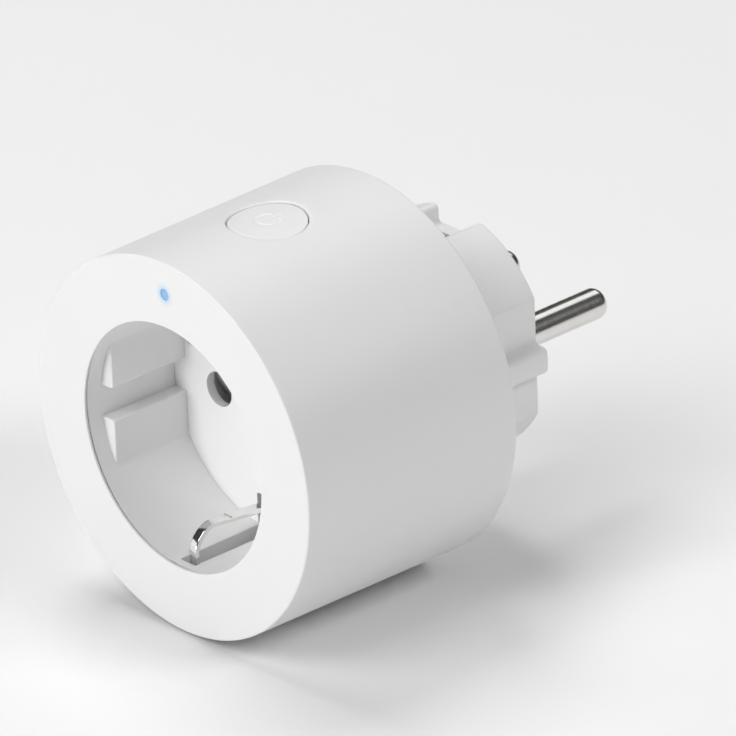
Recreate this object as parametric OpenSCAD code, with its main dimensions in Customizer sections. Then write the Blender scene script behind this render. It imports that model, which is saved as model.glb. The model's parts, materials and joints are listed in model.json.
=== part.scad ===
// Round smart plug: a mains adapter with a side-earthed recessed socket in front, a matching plug
// behind, a push button on top and a status light in the front ring.
// Frame: origin at the centre of the rear face that rests on the wall socket, +Z up, the socket
// faces -Y and the plug pins point along +Y. Units are millimetres.

/* [Body] */
// Outer diameter at the front edge
front_d = 59.6; // [56:0.2:64]
// Outer diameter at the wall
rear_d = 60.4; // [57:0.2:65]
// Length from the wall face to the front face
body_len = 40.5; // [40:0.5:44]
// Radius on the outer front edge
edge_r = 0.3; // [0.2:0.1:1.2]
// Thickness of the front ring
ring_t = 1.8; // [1.6:0.1:2]
// Thickness of the rear cover
cover_t = 2.2; // [2:0.1:2.4]

/* [Socket recess] */
// Diameter of the recess
recess_d = 39.2; // [39:0.1:40]
// Depth of the recess
recess_depth = 17.5; // [17.5:0.1:18]
// Half the distance between the guide ribs
rib_x = 16.9; // [16.7:0.1:17.2]
// Width of the channel between the two ribs of one side
channel_w = 5.2; // [5:0.1:5.6]
// Depth at which the ribs start
rib_start = 3.35; // [3:0.05:4]
// Diameter of a pin entry
entry_d = 5.5; // [5.2:0.1:5.6]

/* [Plug] */
// Distance between the two pins, the same in front and behind
pin_pitch = 19; // [19:0.1:19.2]
// Pin diameter
pin_d = 4.8; // [4.7:0.05:4.8]
// Pin length outside the plug face
pin_len = 19; // [18.5:0.1:19.5]
// Length of the plug body behind the wall face
plug_len = 17; // [16.5:0.1:17.3]
// Diameter of the plug body
plug_d = 37.6; // [37:0.1:38]

/* [Button and light] */
// Diameter of the button cap
button_d = 11.9; // [10:0.1:12.5]
// Distance of the button's centre from the front face
button_from_front = 20.2; // [19:0.1:22]
// Diameter of the light window
light_d = 1.6; // [1.2:0.1:2]
// Height of the light window above the axis
light_z = 24.8; // [24.5:0.1:25.2]

/* [Hidden] */
$fn = 96;

front_y = -body_len;                       // front face
floor_y = front_y + recess_depth;          // bottom of the recess
recess_r = recess_d / 2;
entry_x = pin_pitch / 2;
shell_t = 2.4;                             // sleeve wall
inner_r = rear_d / 2 - shell_t - 0.2;      // inside of the sleeve
rim_r = inner_r + 0.9;                     // pocket for the rear cover
fit = 0.05;                                // gap between pieces that touch
lip_t = 0.5;                               // front ring over the liner's edge
lip_r = recess_r - 0.15;
seam = 0.1;                                // shadow gap between the lip and the liner
draft = 0.12;                              // the recess narrows towards its floor
liner_r = recess_r + 1.6;                  // outside of the recess wall
floor_t = 1.6;                             // socket floor
carrier_t = 2;                             // disc of the contact carrier
chamber_t = 3.2;                           // space for the shutter
chamber_r = 13.2;
carrier_y = floor_y + floor_t + chamber_t; // front of the carrier disc
board_t = 1.6;
board_y = -5;                              // front face of the main board
board_r = inner_r - 0.7;
post_angles = [45, 135, 225, 315];
post_at = 24.6;                            // distance of the screw posts from the axis
post_r = 2.6;
screw_angles = [45, 225];                  // the two screws of the contact carrier
screw_at = 16.5;
flat_z = 19.35;                            // flat land round each earth slot
slot_w = 3.2;                              // earth clip slot in the recess wall
slot_front = front_y + 1.85;
slot_deep = 21.5;                          // bottom of the clip's pocket, from the axis
strip_t = 0.8;                             // earth clip thickness
arm_w = 1.6;                               // width of an earth clip arm
shoulder = 0.4;                            // extra width of an arm behind its crimp
crimp_y = front_y + 9.9;                   // pressed mark across an arm
bend = [front_y + 7.2, 18.7];              // centre of an arm's front bend, as [y, z]
bend_r = 3.95;
tilt = 7;                                  // slope of an arm
arm_foot = 20.2;                           // the arm's end, in the pocket
bridge_y = -14;                            // where the earth clip crosses behind the carrier
bracket_t = 0.6;                           // earth strip in the plug
seat_step = 0.3;                           // plug body's disc below the cover's rear face
pin_neck_r = pin_d / 2 - 0.2;              // pin inside the plug face
neck_end = plug_len + 0.15;
collar_r = 3.2;                            // pin collar behind the plug face
collar_y = plug_len - 1.35;                // end of the collar, against the plug face
face_t = 2.5;                              // plug face thickness
plug_wall = 1.8;
key_x = rib_x - 0.6;                       // flats beside the plug's two side keys
key_w = channel_w - 1;
groove_z = 15.4;                           // floor of the plug's earth grooves
groove_w = 8.4;
earth_z = 10;                              // entry for a wall socket's earth pin
earth_entry_r = 2.65;
button_y = front_y + button_from_front;
top_board_z = 22.4;                        // underside of the wireless board
top_board_t = 1;
top_board_w = 18;
switch_top = top_board_z + top_board_t + 1.5;
plunger_h = 0.45;
shutter_gap = 0.2;                         // free space on each side of the shutter
pivot_r = 1.5;

function unit(v) = v / norm(v);
// Direction across a polyline at point i, lengthened at corners so that the width stays even.
function across(p, i) =
  let (a = unit(i == 0 ? p[1] - p[0] : p[i] - p[i - 1]),
       b = i == len(p) - 1 ? a : unit(p[i + 1] - p[i]),
       t = unit(a + b))
  [-t[1], t[0]] / max(0.4, a * t);
// Outline of a strip of thickness t that follows the polyline p.
function strip(p, t) = concat(
  [for (i = [0:len(p) - 1]) p[i] + across(p, i) * t / 2],
  [for (i = [len(p) - 1:-1:0]) p[i] - across(p, i) * t / 2]);
function arc(c, r, a0, a1, n = 8) =
  [for (i = [0:n]) let (a = a0 + (a1 - a0) * i / n) c + r * [cos(a), sin(a)]];
// Vertices of a tube of radius r along the points p, with k sides.
function tube_points(p, r, k) = [for (i = [0:len(p) - 1])
  let (t = unit(p[min(i + 1, len(p) - 1)] - p[max(i - 1, 0)]),
       u = unit(cross(t, abs(t[1]) > 0.9 ? [1, 0, 0] : [0, 1, 0])),
       v = cross(t, u))
  for (j = [0:k - 1]) p[i] + r * (u * cos(360 * j / k) + v * sin(360 * j / k))];
function tube_faces(n, k) = concat(
  [for (i = [0:n - 2], j = [0:k - 1])
    [i * k + j, i * k + (j + 1) % k, (i + 1) * k + (j + 1) % k, (i + 1) * k + j]],
  [[for (j = [k - 1:-1:0]) j]], [[for (j = [0:k - 1]) (n - 1) * k + j]]);

// Extrudes towards the front: local x, y and z run along X, Z and -Y.
module forward(y) { translate([0, y, 0]) rotate([90, 0, 0]) children(); }
// Extrudes an outline in the (Y, Z) plane to both sides of x = at.
module sideways(w, at = 0) {
  translate([at, 0, 0]) rotate([90, 0, 90]) linear_extrude(w, center = true) children();
}
// A box given by its lowest and highest corner.
module block(lo, hi) { translate(lo) cube(hi - lo); }
module tube(r, bore, h) difference() {
  cylinder(r = r, h = h);
  translate([0, 0, -1]) cylinder(r = bore, h = h + 2);
}
module both_entries() { for (s = [-1, 1]) translate([s * entry_x, 0, 0]) children(); }
module top_and_bottom() { children(); mirror([0, 0, 1]) children(); }
module around(angles, r) { for (a = angles) translate([r * sin(a), 0, r * cos(a)]) children(); }
module at_posts() { around(post_angles, post_at) children(); }
module at_screws() { around(screw_angles, screw_at) children(); }

// Tapered sleeve with the front ring, screw posts, button hole and light hole.
module front_housing() color("white") difference() {
  union() {
    forward(0) rotate_extrude($fn = 180) polygon(concat(
      [[rear_d / 2 - 0.5, 0], [rear_d / 2 - 0.15, 0.15], [rear_d / 2, 0.5]],
      arc([front_d / 2 - edge_r, body_len - edge_r], edge_r, 0, 90, 6),
      arc([lip_r + 0.2, body_len - 0.2], 0.2, 90, 180, 4),
      [[lip_r, body_len - lip_t], [liner_r + fit, body_len - lip_t],
       [liner_r + fit, body_len - ring_t], [inner_r, body_len - ring_t], [inner_r, cover_t],
       [rim_r, cover_t], [rim_r, 0]]));
    difference() {
      forward(front_y + ring_t + 3.2) tube(liner_r + 1.3, liner_r + fit, 3.3);
      top_and_bottom() block([-3, front_y, liner_r - 2], [3, front_y + 6, liner_r + 2]);
    }
    at_posts() forward(-cover_t - 2.3) cylinder(r = post_r, h = body_len - ring_t - cover_t - 2.2);
    for (a = [70, 110, 250, 290]) rotate([0, a, 0])
      block([-0.8, front_y + 1, 25.6], [0.8, board_y - fit, inner_r + 0.3]);
  }
  translate([0, button_y, 20]) cylinder(r = button_d / 2 + 0.15, h = 15);
  translate([0, 0, light_z]) forward(front_y + ring_t + 1) cylinder(r = light_d / 2 + fit, h = 4);
  at_posts() forward(-cover_t - 2) cylinder(r = 1.05, h = 12);
}

// Recess wall with the two pairs of guide ribs and the pockets for the earth clip.
module socket_liner() color("whitesmoke") difference() {
  wall_len = recess_depth - lip_t - seam - fit;
  union() {
    difference() {
      union() {
        forward(floor_y - fit) cylinder(r = liner_r, h = wall_len, $fn = 180);
        top_and_bottom() block(
          [-slot_w / 2 - 1.1, front_y + ring_t + 0.1, recess_r - 1],
          [slot_w / 2 + 1.1, floor_y - fit, slot_deep + 0.6]);
      }
      forward(floor_y) cylinder(r1 = recess_r - draft, r2 = recess_r, h = recess_depth, $fn = 180);
    }
    intersection() {
      forward(floor_y - fit) cylinder(r = recess_r + 0.4, h = wall_len, $fn = 180);
      union() {
        for (sx = [-1, 1], sz = [-1, 1])
          translate([sx * (rib_x + 3), front_y + rib_start + 30, sz * (channel_w / 2 + 5)])
            cube([6, 60, 10], center = true);
        for (sz = [-1, 1]) translate([0, front_y, sz * (flat_z + 1)]) cube([10, 60, 2], center = true);
      }
    }
  }
  top_and_bottom() {
    block([-slot_w / 2, slot_front, recess_r - 3], [slot_w / 2, floor_y + 1, liner_r - 0.4]);
    block([-slot_w / 2, slot_front + 0.7, recess_r - 3], [slot_w / 2, floor_y + 1, slot_deep]);
  }
}

// Floor of the recess: pin entries, windows for the earth clip, ears that grip the housing's posts,
// screw bosses and the shutter's pivot.
module socket_floor() color("white") {
  difference() {
    union() {
      forward(floor_y + floor_t) cylinder(r = liner_r, h = floor_t, $fn = 180);
      intersection() {
        forward(floor_y + floor_t) cylinder(r = inner_r - 0.4, h = floor_t);
        at_posts() forward(floor_y + floor_t) cylinder(r = post_r + 1.8, h = floor_t);
      }
    }
    both_entries() forward(floor_y + floor_t + 1) cylinder(d = entry_d, h = floor_t + 2);
    top_and_bottom() block([-2, floor_y - 1, 14.3], [2, floor_y + floor_t + 1, recess_r]);
    at_posts() forward(0) cylinder(r = post_r + fit, h = 60);
  }
  at_screws() difference() {
    forward(carrier_y - fit) cylinder(r = 1.9, h = chamber_t);
    forward(carrier_y + 1) cylinder(r = 1.05, h = 3.6);
  }
  forward(carrier_y + 2.4) cylinder(r = pivot_r, h = 2.4 + chamber_t + 0.1);
}

// Rotor that covers both entries and turns aside when two pins push on its ramps together.
module shutter() color("dimgray") {
  back = carrier_y - shutter_gap;
  front = floor_y + floor_t + shutter_gap;
  difference() {
    union() {
      forward(back) cylinder(r = 3.6, h = back - front);
      for (s = [0, 180]) rotate([0, s, 0]) {
        block([2, back - 1, -2.4], [7, back, 2.4]);
        intersection() {
          sideways(7.2, entry_x) polygon(
            [[back, -3.1], [back, 3.1], [back - 0.8, 3.1], [front, -1.6], [front, -3.1]]);
          forward(back + 1) cylinder(r = chamber_r - 0.3, h = 6);
        }
      }
    }
    forward(back + 1) cylinder(r = pivot_r + 0.06, h = 6);
    translate([2.6, 0, 0]) forward(back + 1) cylinder(r = 0.35, h = 2.6, $fn = 24);
  }
}

// Torsion spring round the pivot, in the well of the contact carrier.
module shutter_spring() color("silver") {
  coil_r = 2.3;
  wire_r = 0.2;
  turns = 3.5;
  start = carrier_y + 0.3;
  rise = 0.5;
  path = concat(
    [[2.6, start - 1.3, 0], [2.6, start - 0.7, 0]],
    [for (a = [0:20:360 * turns]) [coil_r * cos(a), start + rise * a / 360, coil_r * sin(a)]],
    [[-coil_r, start + rise * turns + 0.1, 1.2], [-coil_r - 0.4, start + rise * turns + 0.15, 2.4]]);
  polyhedron(tube_points(path, wire_r, 8), tube_faces(len(path), 8));
}

// Insulating moulding that closes the shutter's chamber and holds both socket contacts.
module contact_carrier() color("ivory") difference() {
  union() {
    forward(carrier_y + carrier_t) cylinder(r = liner_r - 0.4, h = carrier_t);
    forward(carrier_y + 0.5) {
      tube(liner_r - 0.4, liner_r - 2.4, chamber_t + 0.5 - fit);
      tube(chamber_r + 1, chamber_r, chamber_t + 0.5 - fit);
    }
    forward(carrier_y + carrier_t + 0.8) cylinder(r = 4.6, h = 1.5);
    both_entries() block([-5.2, carrier_y + 1, -5], [5.2, -8, 5]);
  }
  forward(carrier_y + 2.2) cylinder(r = 3.4, h = 3);
  forward(carrier_y + 4) cylinder(r = pivot_r + 0.1, h = 5);
  both_entries() {
    forward(carrier_y + 1.3) cylinder(r = 3, h = 3);
    block([-3.6, carrier_y + 1.2, -4.1], [4, 0, 4.1]);
  }
  top_and_bottom() block([-3, floor_y, 14.6], [3, 0, 18]);
  at_screws() forward(0) cylinder(r = 1.15, h = 30);
}

// Pan-head screw with a cross recess whose head rests on the plane y = 0.
module screw(head_r, head_h, shank_r, shank_len) difference() {
  union() {
    rotate([-90, 0, 0]) rotate_extrude($fn = 48) polygon([[0, -0.1], [head_r, 0], [head_r, head_h / 2],
      [head_r * 0.85, head_h * 0.8], [head_r / 2, head_h], [0, head_h]]);
    forward(0.05) cylinder(r = shank_r, h = shank_len, $fn = 48);
  }
  for (a = [0, 90]) rotate([0, a, 0])
    block([-head_r / 2, head_h / 2, -0.22], [head_r / 2, head_h + 1, 0.22]);
}
module carrier_screws() color("gray") at_screws()
  translate([0, carrier_y + carrier_t + fit, 0]) screw(1.9, 1.2, 1, 4.4);

// Sprung brass contact: two leaves on a side plate, with a tail through the main board.
module socket_contact() {
  start = carrier_y + 1.4;
  leaf = [[start, 3.4], [start + 1.6, 2.7], [start + 4, 2.45], [start + 6.5, 2.5], [start + 8, 3.3]];
  top_and_bottom() sideways(6, 0.2) polygon(strip(leaf, 0.5));
  block([2.9, start + 0.6, -3.6], [3.4, start + 8.2, 3.6]);
  block([2.9, start + 8, -1.2], [3.4, board_y + board_t + 0.6, 1.2]);
}
module live_contact() color("goldenrod") translate([entry_x, 0, 0]) socket_contact();
module neutral_contact() color("goldenrod") mirror([1, 0, 0]) live_contact();

// One arm of the earth clip: from the crossing strip, through the floor, to the bend at its front.
function arm_rear() = arc([bridge_y - 1.3, 15.6], 1.3, 0, 90 + tilt, 6);
function arm_front() = concat(arc(bend, bend_r, 270 + tilt, 180, 14), [[bend[0] - bend_r, arm_foot]]);
function arm_z(y) = bend[1] - bend_r / cos(tilt) + (y - bend[0]) * tan(tilt);

// Nickel-plated earth clip: two spring arms and the strip that joins them behind the carrier.
module earth_clip() color("silver") {
  top_and_bottom() difference() {
    union() {
      sideways(arm_w) polygon(strip(concat(arm_rear(), arm_front()), strip_t));
      sideways(shoulder + 0.2, (0.2 - arm_w - shoulder) / 2)
        polygon(strip(concat(arm_rear(), [[crimp_y + 0.2, arm_z(crimp_y + 0.2)]]), strip_t));
    }
    sideways(4) translate([crimp_y, arm_z(crimp_y) - strip_t / 2 - 0.15]) circle(r = 0.3, $fn = 24);
  }
  difference() {
    block([-2.5, bridge_y - strip_t / 2, -15.6], [2.5, bridge_y + strip_t / 2, 15.6]);
    forward(bridge_y + 2) cylinder(r = pivot_r + 0.3, h = 4);
  }
}

// Strap that carries the earth from the plug's bracket to the clip in front.
module earth_link() color("silver") {
  block([-1.5, bridge_y + strip_t / 2 + fit, 3.4], [1.5, plug_len - face_t - 1.6, 4]);
  block([-1.5, bridge_y + strip_t / 2 + fit, 4], [1.5, bridge_y + strip_t / 2 + 0.65, 7]);
  block([-1.5, plug_len - face_t - 2.2, 4], [1.5, plug_len - face_t - 1.6, 5.6]);
}

// Rear cover: the ring that closes the sleeve round the plug body, with sunk screw holes.
module rear_cover() color("white") difference() {
  union() {
    forward(0) cylinder(r = rim_r - 0.06, h = cover_t - fit, $fn = 180);
    at_posts() forward(-cover_t + 0.1) cylinder(r = post_r + 0.3, h = 2.3);
    forward(-cover_t + 0.1) tube(inner_r - 0.2, inner_r - 1.2, 1);
  }
  forward(1) cylinder(r = plug_d / 2 + fit, h = 9, $fn = 180);
  at_posts() {
    forward(1) cylinder(r = 2.35, h = 3.2);
    forward(1) cylinder(r = 1.45, h = 8);
  }
}

// Outline of the plug body: a disc with rib grooves at the sides and earth grooves above and below.
module plug_outline() difference() {
  circle(d = plug_d, $fn = 180);
  for (sx = [-1, 1], sz = [-1, 1])
    translate([sx * (key_x + 5), sz * (key_w / 2 + 6)]) square([10, 12], center = true);
  for (sz = [-1, 1]) translate([0, sz * (groove_z + 5)]) square([groove_w, 10], center = true);
}
module plug_hollow() difference() {
  intersection() {
    circle(d = plug_d - 2 * plug_wall);
    square([2 * (key_x - plug_wall), 2 * plug_d], center = true);
  }
  for (sz = [-1, 1]) translate([0, sz * (groove_z - plug_wall + 5)])
    square([groove_w + 2 * plug_wall, 10], center = true);
}

// Hollow plug body, held by a flange behind the rear cover.
module plug_body() color("white") difference() {
  union() {
    forward(plug_len) linear_extrude(plug_len + seat_step) plug_outline();
    forward(-seat_step) cylinder(d = plug_d, h = cover_t - seat_step + 0.2, $fn = 180);
    forward(-cover_t - fit) cylinder(r = plug_d / 2 + 1.2, h = 0.9, $fn = 180);
  }
  forward(plug_len - face_t) linear_extrude(plug_len + cover_t + 2) plug_hollow();
  both_entries() {
    forward(plug_len + 1) cylinder(r = pin_neck_r + 0.01, h = face_t + 2);
    forward(collar_y + fit) cylinder(r = collar_r + 0.1, h = 3);
  }
  translate([0, 0, earth_z]) forward(plug_len + 1) cylinder(r = earth_entry_r, h = face_t + 2);
  top_and_bottom() block([-2.8, plug_len - face_t - 2.4, 12], [2.8, plug_len - face_t - 0.1, 17]);
}

// Solid plug pin, moulded into the plug face: rounded tip, thin neck, collar and riveted root.
module plug_pin() color("silver") {
  root_y = 3;
  rivet_r = 1.4;
  round = 1.6;
  tip_y = plug_len + pin_len;
  rotate([-90, 0, 0]) rotate_extrude() polygon(concat(
    [[0, root_y - 1.4], [rivet_r, root_y - 1.4], [rivet_r, root_y], [pin_d / 2, root_y],
     [pin_d / 2, collar_y - 1.55], [collar_r, collar_y - 1.55], [collar_r, collar_y],
     [pin_neck_r, collar_y], [pin_neck_r, neck_end], [pin_d / 2, neck_end]],
    arc([pin_d / 2 - round, tip_y - round], round, 0, 90), [[0, tip_y]]));
}
module live_pin() translate([entry_x, 0, 0]) plug_pin();
module neutral_pin() translate([-entry_x, 0, 0]) plug_pin();

// Brass strip from a pin's root to the main board.
module pin_terminal() {
  difference() {
    sideways(4) polygon(strip(concat([[2.5, -2.2]], arc([1.3, 5.3], 1.2, 0, 90, 5), [[-2.6, 6.5]]), 0.8));
    forward(4) cylinder(r = 1.45, h = 4);
  }
  block([-0.9, board_y - 0.6, 6.15], [0.9, -2.5, 6.85]);
}
module live_terminal() color("goldenrod") translate([entry_x, 0, 0]) pin_terminal();
module neutral_terminal() color("goldenrod") translate([-entry_x, 0, 0]) pin_terminal();

// Earth bracket of the plug: a strip behind the plug face whose ends lie in the two grooves.
module rear_earth_bracket() color("silver") difference() {
  y = plug_len - face_t - 0.9;
  ends = [[9, 16.15], [5, 16.3], [2.4, 16.1], [1.6, 15.85]];
  union() {
    top_and_bottom() sideways(5)
      polygon(strip(concat(arc([y - 1.2, 14.7], 1.2, 0, 90, 5), ends), bracket_t));
    block([-2.5, y - bracket_t / 2, -14.7], [2.5, y + bracket_t / 2, 14.7]);
    translate([0, 0, earth_z]) forward(y + bracket_t / 2) cylinder(r = 4.4, h = bracket_t);
  }
  translate([0, 0, earth_z]) forward(y + 2) cylinder(r = 2.95, h = 4);
}

// Split sleeve that grips the earth pin of a wall socket that has one.
module earth_pin_sleeve() color("silver") translate([0, 0, earth_z]) {
  y = plug_len - face_t - 1.25;
  difference() {
    union() {
      forward(y) cylinder(r = 2.9, h = 9);
      forward(y) cylinder(r = 3.5, h = 0.5);
    }
    forward(y + 1) cylinder(r = 2.35, h = 12);
    block([-0.35, y - 7.5, -5], [0.35, y + 1, 5]);
  }
}

// Four thread-forming screws that hold the rear cover on the posts.
module housing_screws() color("gray") at_posts() translate([0, -2.15, 0]) screw(2.2, 1.45, 1, 9.5);

// Main circuit board with clearance for the pin tips, posts and terminals.
module main_board() color("darkgreen") difference() {
  forward(board_y + board_t) cylinder(r = board_r, h = board_t);
  at_posts() forward(0) cylinder(r = post_r + 0.5, h = 9);
  both_entries() forward(0) cylinder(r = 2.9, h = 9);
  for (s = [-1, 1]) {
    translate([s * (entry_x + 3.15), board_y, 0]) cube([0.8, 6, 2.7], center = true);
    translate([s * entry_x, board_y, 6.5]) cube([2, 6, 0.9], center = true);
  }
  block([-1.8, board_y - 1, 3.1], [1.8, 0, 4.3]);
}

// Power relay, standing in the hollow of the plug body.
module relay() color("black") {
  y = board_y + board_t;
  difference() {
    block([-9.2, y + 0.3, -13.4], [9.2, y + 15.3, -3.3]);
    for (s = [-1, 1]) translate([s * 9.2, y + 15.3, -8]) rotate([0, 0, 45]) cube([1, 1, 20], center = true);
  }
  for (x = [-7, 7], z = [-11.6, -5.2]) block([x - 0.5, y, z - 0.4], [x + 0.5, y + 0.4, z + 0.4]);
}

module film_capacitor() color("royalblue") hull() {
  block([-6.2, board_y - 7.6, 8.2], [6.2, board_y, 13.4]);
  block([-6.5, board_y - 7.3, 8.5], [6.5, board_y, 13.1]);
}

module bulk_capacitor() color("darkslategray") translate([-20, 0, -6]) {
  forward(board_y) cylinder(r = 3.9, h = 0.8, $fn = 48);
  forward(board_y - 0.7) rotate_extrude($fn = 64)
    polygon([[0, 0], [4, 0], [4, 0.7], [3.75, 0.95], [4, 1.2], [4, 8.6], [3.6, 9], [0, 9]]);
}

module filter_choke() color("peru") translate([20, 0, -6]) {
  forward(board_y) cylinder(r = 4, h = 1.2, $fn = 64);
  forward(board_y - 1.1) cylinder(r = 3.4, h = 5.6, $fn = 64);
  forward(board_y - 6.6) cylinder(r = 4, h = 1.2, $fn = 64);
}

module varistor() color("steelblue") translate([0, board_y, -19.6]) {
  translate([0, -5, 0]) cylinder(r = 4.6, h = 3.2, center = true, $fn = 64);
  for (x = [-2.5, 2.5]) block([x - 0.35, -2, -0.3], [x + 0.35, 0, 0.3]);
}

module fuse() color("saddlebrown") block([6.6, board_y - 7.4, -22], [12.6, board_y, -18.2]);

// Surface-mounted chip with gull-wing leads on two sides; the body is w wide, d deep and h high.
module chip(w, d, h, leads) {
  lead_len = 0.9;
  block([-w / 2, board_y - h, -d / 2], [w / 2, board_y - 0.2, d / 2]);
  for (s = [-1, 1], i = [0:leads - 1]) translate([(i - (leads - 1) / 2) * 1.27, 0, 0])
    translate([0, 0, s * (d / 2 + lead_len / 2)])
      block([-0.2, board_y - 0.45, -lead_len / 2], [0.2, board_y, lead_len / 2]);
}
module bridge_rectifier() color("black") translate([-20, 0, 5]) chip(4.6, 4, 2, 2);
module power_chip() color("black") translate([20, 0, 5]) chip(4.9, 3.9, 1.6, 4);

// Bent metal strip that the load current passes through.
module current_shunt() color("tan") translate([-9.6, 0, -20]) sideways(2.4)
  polygon(strip(concat([[board_y, -1.6]], arc([board_y - 2.6, 0], 1.6, 270, 90), [[board_y, 1.6]]), 0.5));

// Angled pin header between the two boards.
module board_header() color("black") {
  block([-6, board_y - 3.6, 19.6], [6, board_y - 1, top_board_z]);
  for (i = [-2:2]) translate([i * 2.2, 0, 0]) {
    block([-0.3, board_y - 1, 20.8], [0.3, board_y, 21.4]);
    block([-0.3, board_y - 2.6, top_board_z], [0.3, board_y - 2, top_board_z + top_board_t + 0.5]);
  }
}

// Upper board: wireless module, button switch and light.
module wireless_board() color("darkgreen") difference() {
  block([-top_board_w / 2, front_y + 3.4, top_board_z],
    [top_board_w / 2, board_y - 0.6, top_board_z + top_board_t]);
  for (i = [-2:2]) translate([i * 2.2, board_y - 2.3, top_board_z]) cube([0.8, 0.8, 4], center = true);
}

module shield_can() color("silver") translate([0, board_y - 8, top_board_z + top_board_t])
  block([-5.6, -4.4, 0], [5.6, 4.4, 1.5]);

// Printed aerial: a folded copper line near the front of the upper board.
module antenna() color("orange") {
  z = top_board_z + top_board_t;
  y0 = front_y + 7.2;
  block([-6.3, y0, z], [-5.7, y0 + 6, z + 0.12]);
  for (i = [0:5]) {
    x = -5.7 + i * 1.9;
    block([x - 0.01, i % 2 == 0 ? y0 : y0 + 5.4, z], [x + 1.3, i % 2 == 0 ? y0 + 0.6 : y0 + 6, z + 0.12]);
    block([x + 1.29, y0, z], [x + 1.9, y0 + 6, z + 0.12]);
  }
}

module switch_base() color("black") difference() {
  z = top_board_z + top_board_t;
  translate([0, button_y, 0]) block([-2.6, -2.6, z], [2.6, 2.6, switch_top]);
  translate([0, button_y, z + 0.5]) cylinder(r = 1.1, h = 5);
}
module switch_plunger() color("goldenrod")
  translate([0, button_y, switch_top - 0.5]) cylinder(r = 1, h = 0.5 + plunger_h);

// Button cap: its top follows the sleeve, and a flange inside keeps it in the housing.
module button_cap() color("white") {
  flange_z = 26.4;
  intersection() {
    translate([0, button_y, flange_z - 0.4]) cylinder(d = button_d, h = 8);
    forward(0) cylinder(r1 = rear_d / 2 - 0.2, r2 = front_d / 2 - 0.2, h = body_len, $fn = 180);
  }
  translate([0, button_y, flange_z - 0.8]) cylinder(r = button_d / 2 + 0.8, h = 0.8);
  stem_z = switch_top + plunger_h;
  translate([0, button_y, stem_z]) cylinder(r = 1.6, h = flange_z - 0.7 - stem_z);
}

module status_led() color("lightblue") {
  z = top_board_z + top_board_t;
  block([-1, front_y + 3.7, z], [1, front_y + 4.9, z + 1.7]);
}

// Clear pipe from the light to the front face.
module light_pipe() color("deepskyblue") translate([0, 0, light_z]) {
  forward(front_y + ring_t + 0.5) cylinder(d = light_d, h = ring_t + 0.5);
  forward(front_y + 3.6) cylinder(d = light_d + 1, h = 1.75);
}

front_housing();
socket_liner();
socket_floor();
shutter();
shutter_spring();
contact_carrier();
carrier_screws();
live_contact();
neutral_contact();
earth_clip();
earth_link();
rear_cover();
plug_body();
live_pin();
neutral_pin();
live_terminal();
neutral_terminal();
rear_earth_bracket();
earth_pin_sleeve();
housing_screws();
main_board();
relay();
film_capacitor();
bulk_capacitor();
filter_choke();
varistor();
fuse();
bridge_rectifier();
power_chip();
current_shunt();
board_header();
wireless_board();
shield_can();
antenna();
switch_base();
switch_plunger();
button_cap();
status_led();
light_pipe();
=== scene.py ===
"""Looks of the round smart plug: shell, socket recess, contacts, button, light and plug behind.

Lengths are millimetres in this file and become metres when a mesh is made. The frame is the CAD's:
+Z up, the socket faces -Y, the plug pins point along +Y, and the origin is the middle of the face
that rests on the wall.
"""

import json
import math

import bmesh
import bpy
from mathutils import Matrix, Vector


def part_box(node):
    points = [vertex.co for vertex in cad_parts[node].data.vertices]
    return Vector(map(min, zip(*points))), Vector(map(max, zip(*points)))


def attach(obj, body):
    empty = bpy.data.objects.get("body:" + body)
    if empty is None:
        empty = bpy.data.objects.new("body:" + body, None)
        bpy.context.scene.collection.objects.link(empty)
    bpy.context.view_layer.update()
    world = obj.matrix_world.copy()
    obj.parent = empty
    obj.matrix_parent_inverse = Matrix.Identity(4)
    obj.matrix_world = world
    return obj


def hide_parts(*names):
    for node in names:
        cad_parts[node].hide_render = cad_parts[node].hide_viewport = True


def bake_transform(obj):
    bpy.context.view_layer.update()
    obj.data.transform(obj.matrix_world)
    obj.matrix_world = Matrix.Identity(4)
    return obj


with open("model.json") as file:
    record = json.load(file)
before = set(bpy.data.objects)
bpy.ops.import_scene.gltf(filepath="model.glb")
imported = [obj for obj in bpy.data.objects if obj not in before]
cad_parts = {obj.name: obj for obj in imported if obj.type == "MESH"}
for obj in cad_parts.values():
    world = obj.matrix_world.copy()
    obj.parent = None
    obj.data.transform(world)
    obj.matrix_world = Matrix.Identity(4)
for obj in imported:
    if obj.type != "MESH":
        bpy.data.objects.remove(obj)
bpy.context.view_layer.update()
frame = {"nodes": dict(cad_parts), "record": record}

MM = 0.001
MERGE_DISTANCE = 0.002 * MM


def edge_of(node, side, axis):
    """One side of a CAD node's box, in millimetres."""
    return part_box(node)[side]["xyz".index(axis)] / MM


# ---------------------------------------------------------------- sizes, in millimetres
gap = 0.05     # between pieces that touch
overlap = 0.1  # of shapes that are joined

front_y = edge_of("front_housing", 0, "y")
rear_r = edge_of("front_housing", 1, "x")
front_r = rear_r - 0.4
edge_r = 0.3           # outer front edge
rear_edge_r = 0.5
ring_t = 1.8
inner_r = rear_r - 2.6
rim_r = inner_r + 0.9  # pocket for the rear cover
cover_t = 2.2

recess_r = 19.6
recess_depth = 17.5
floor_y = front_y + recess_depth
floor_t = 1.6
lip_r = recess_r - 0.15
lip_t = 0.36
lip_edge_r = 0.14
seam = 0.28        # shadow gap between the lip and the recess wall
liner_r = recess_r + 1.6
draft = 0.12       # the recess narrows towards its floor
rib_x = 16.9
rib_start = 3.35
rib_round = 0.3    # front edge of a rib
rib_turn_r = 0.35  # edge of a rib along the channel
channel_half = 2.6
flat_z = 19.35     # flat land round each earth slot
flat_corner = 0.1
slot_half = 1.6
slot_front = 1.85  # depth where the slot starts
slot_step = 0.7
slot_first = 20.8
slot_deep = 21.5
pocket_half = 2.7  # block round a slot, outside the recess wall
pocket_top = slot_deep + 0.6
pocket_foot = pocket_half + 0.2

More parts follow.
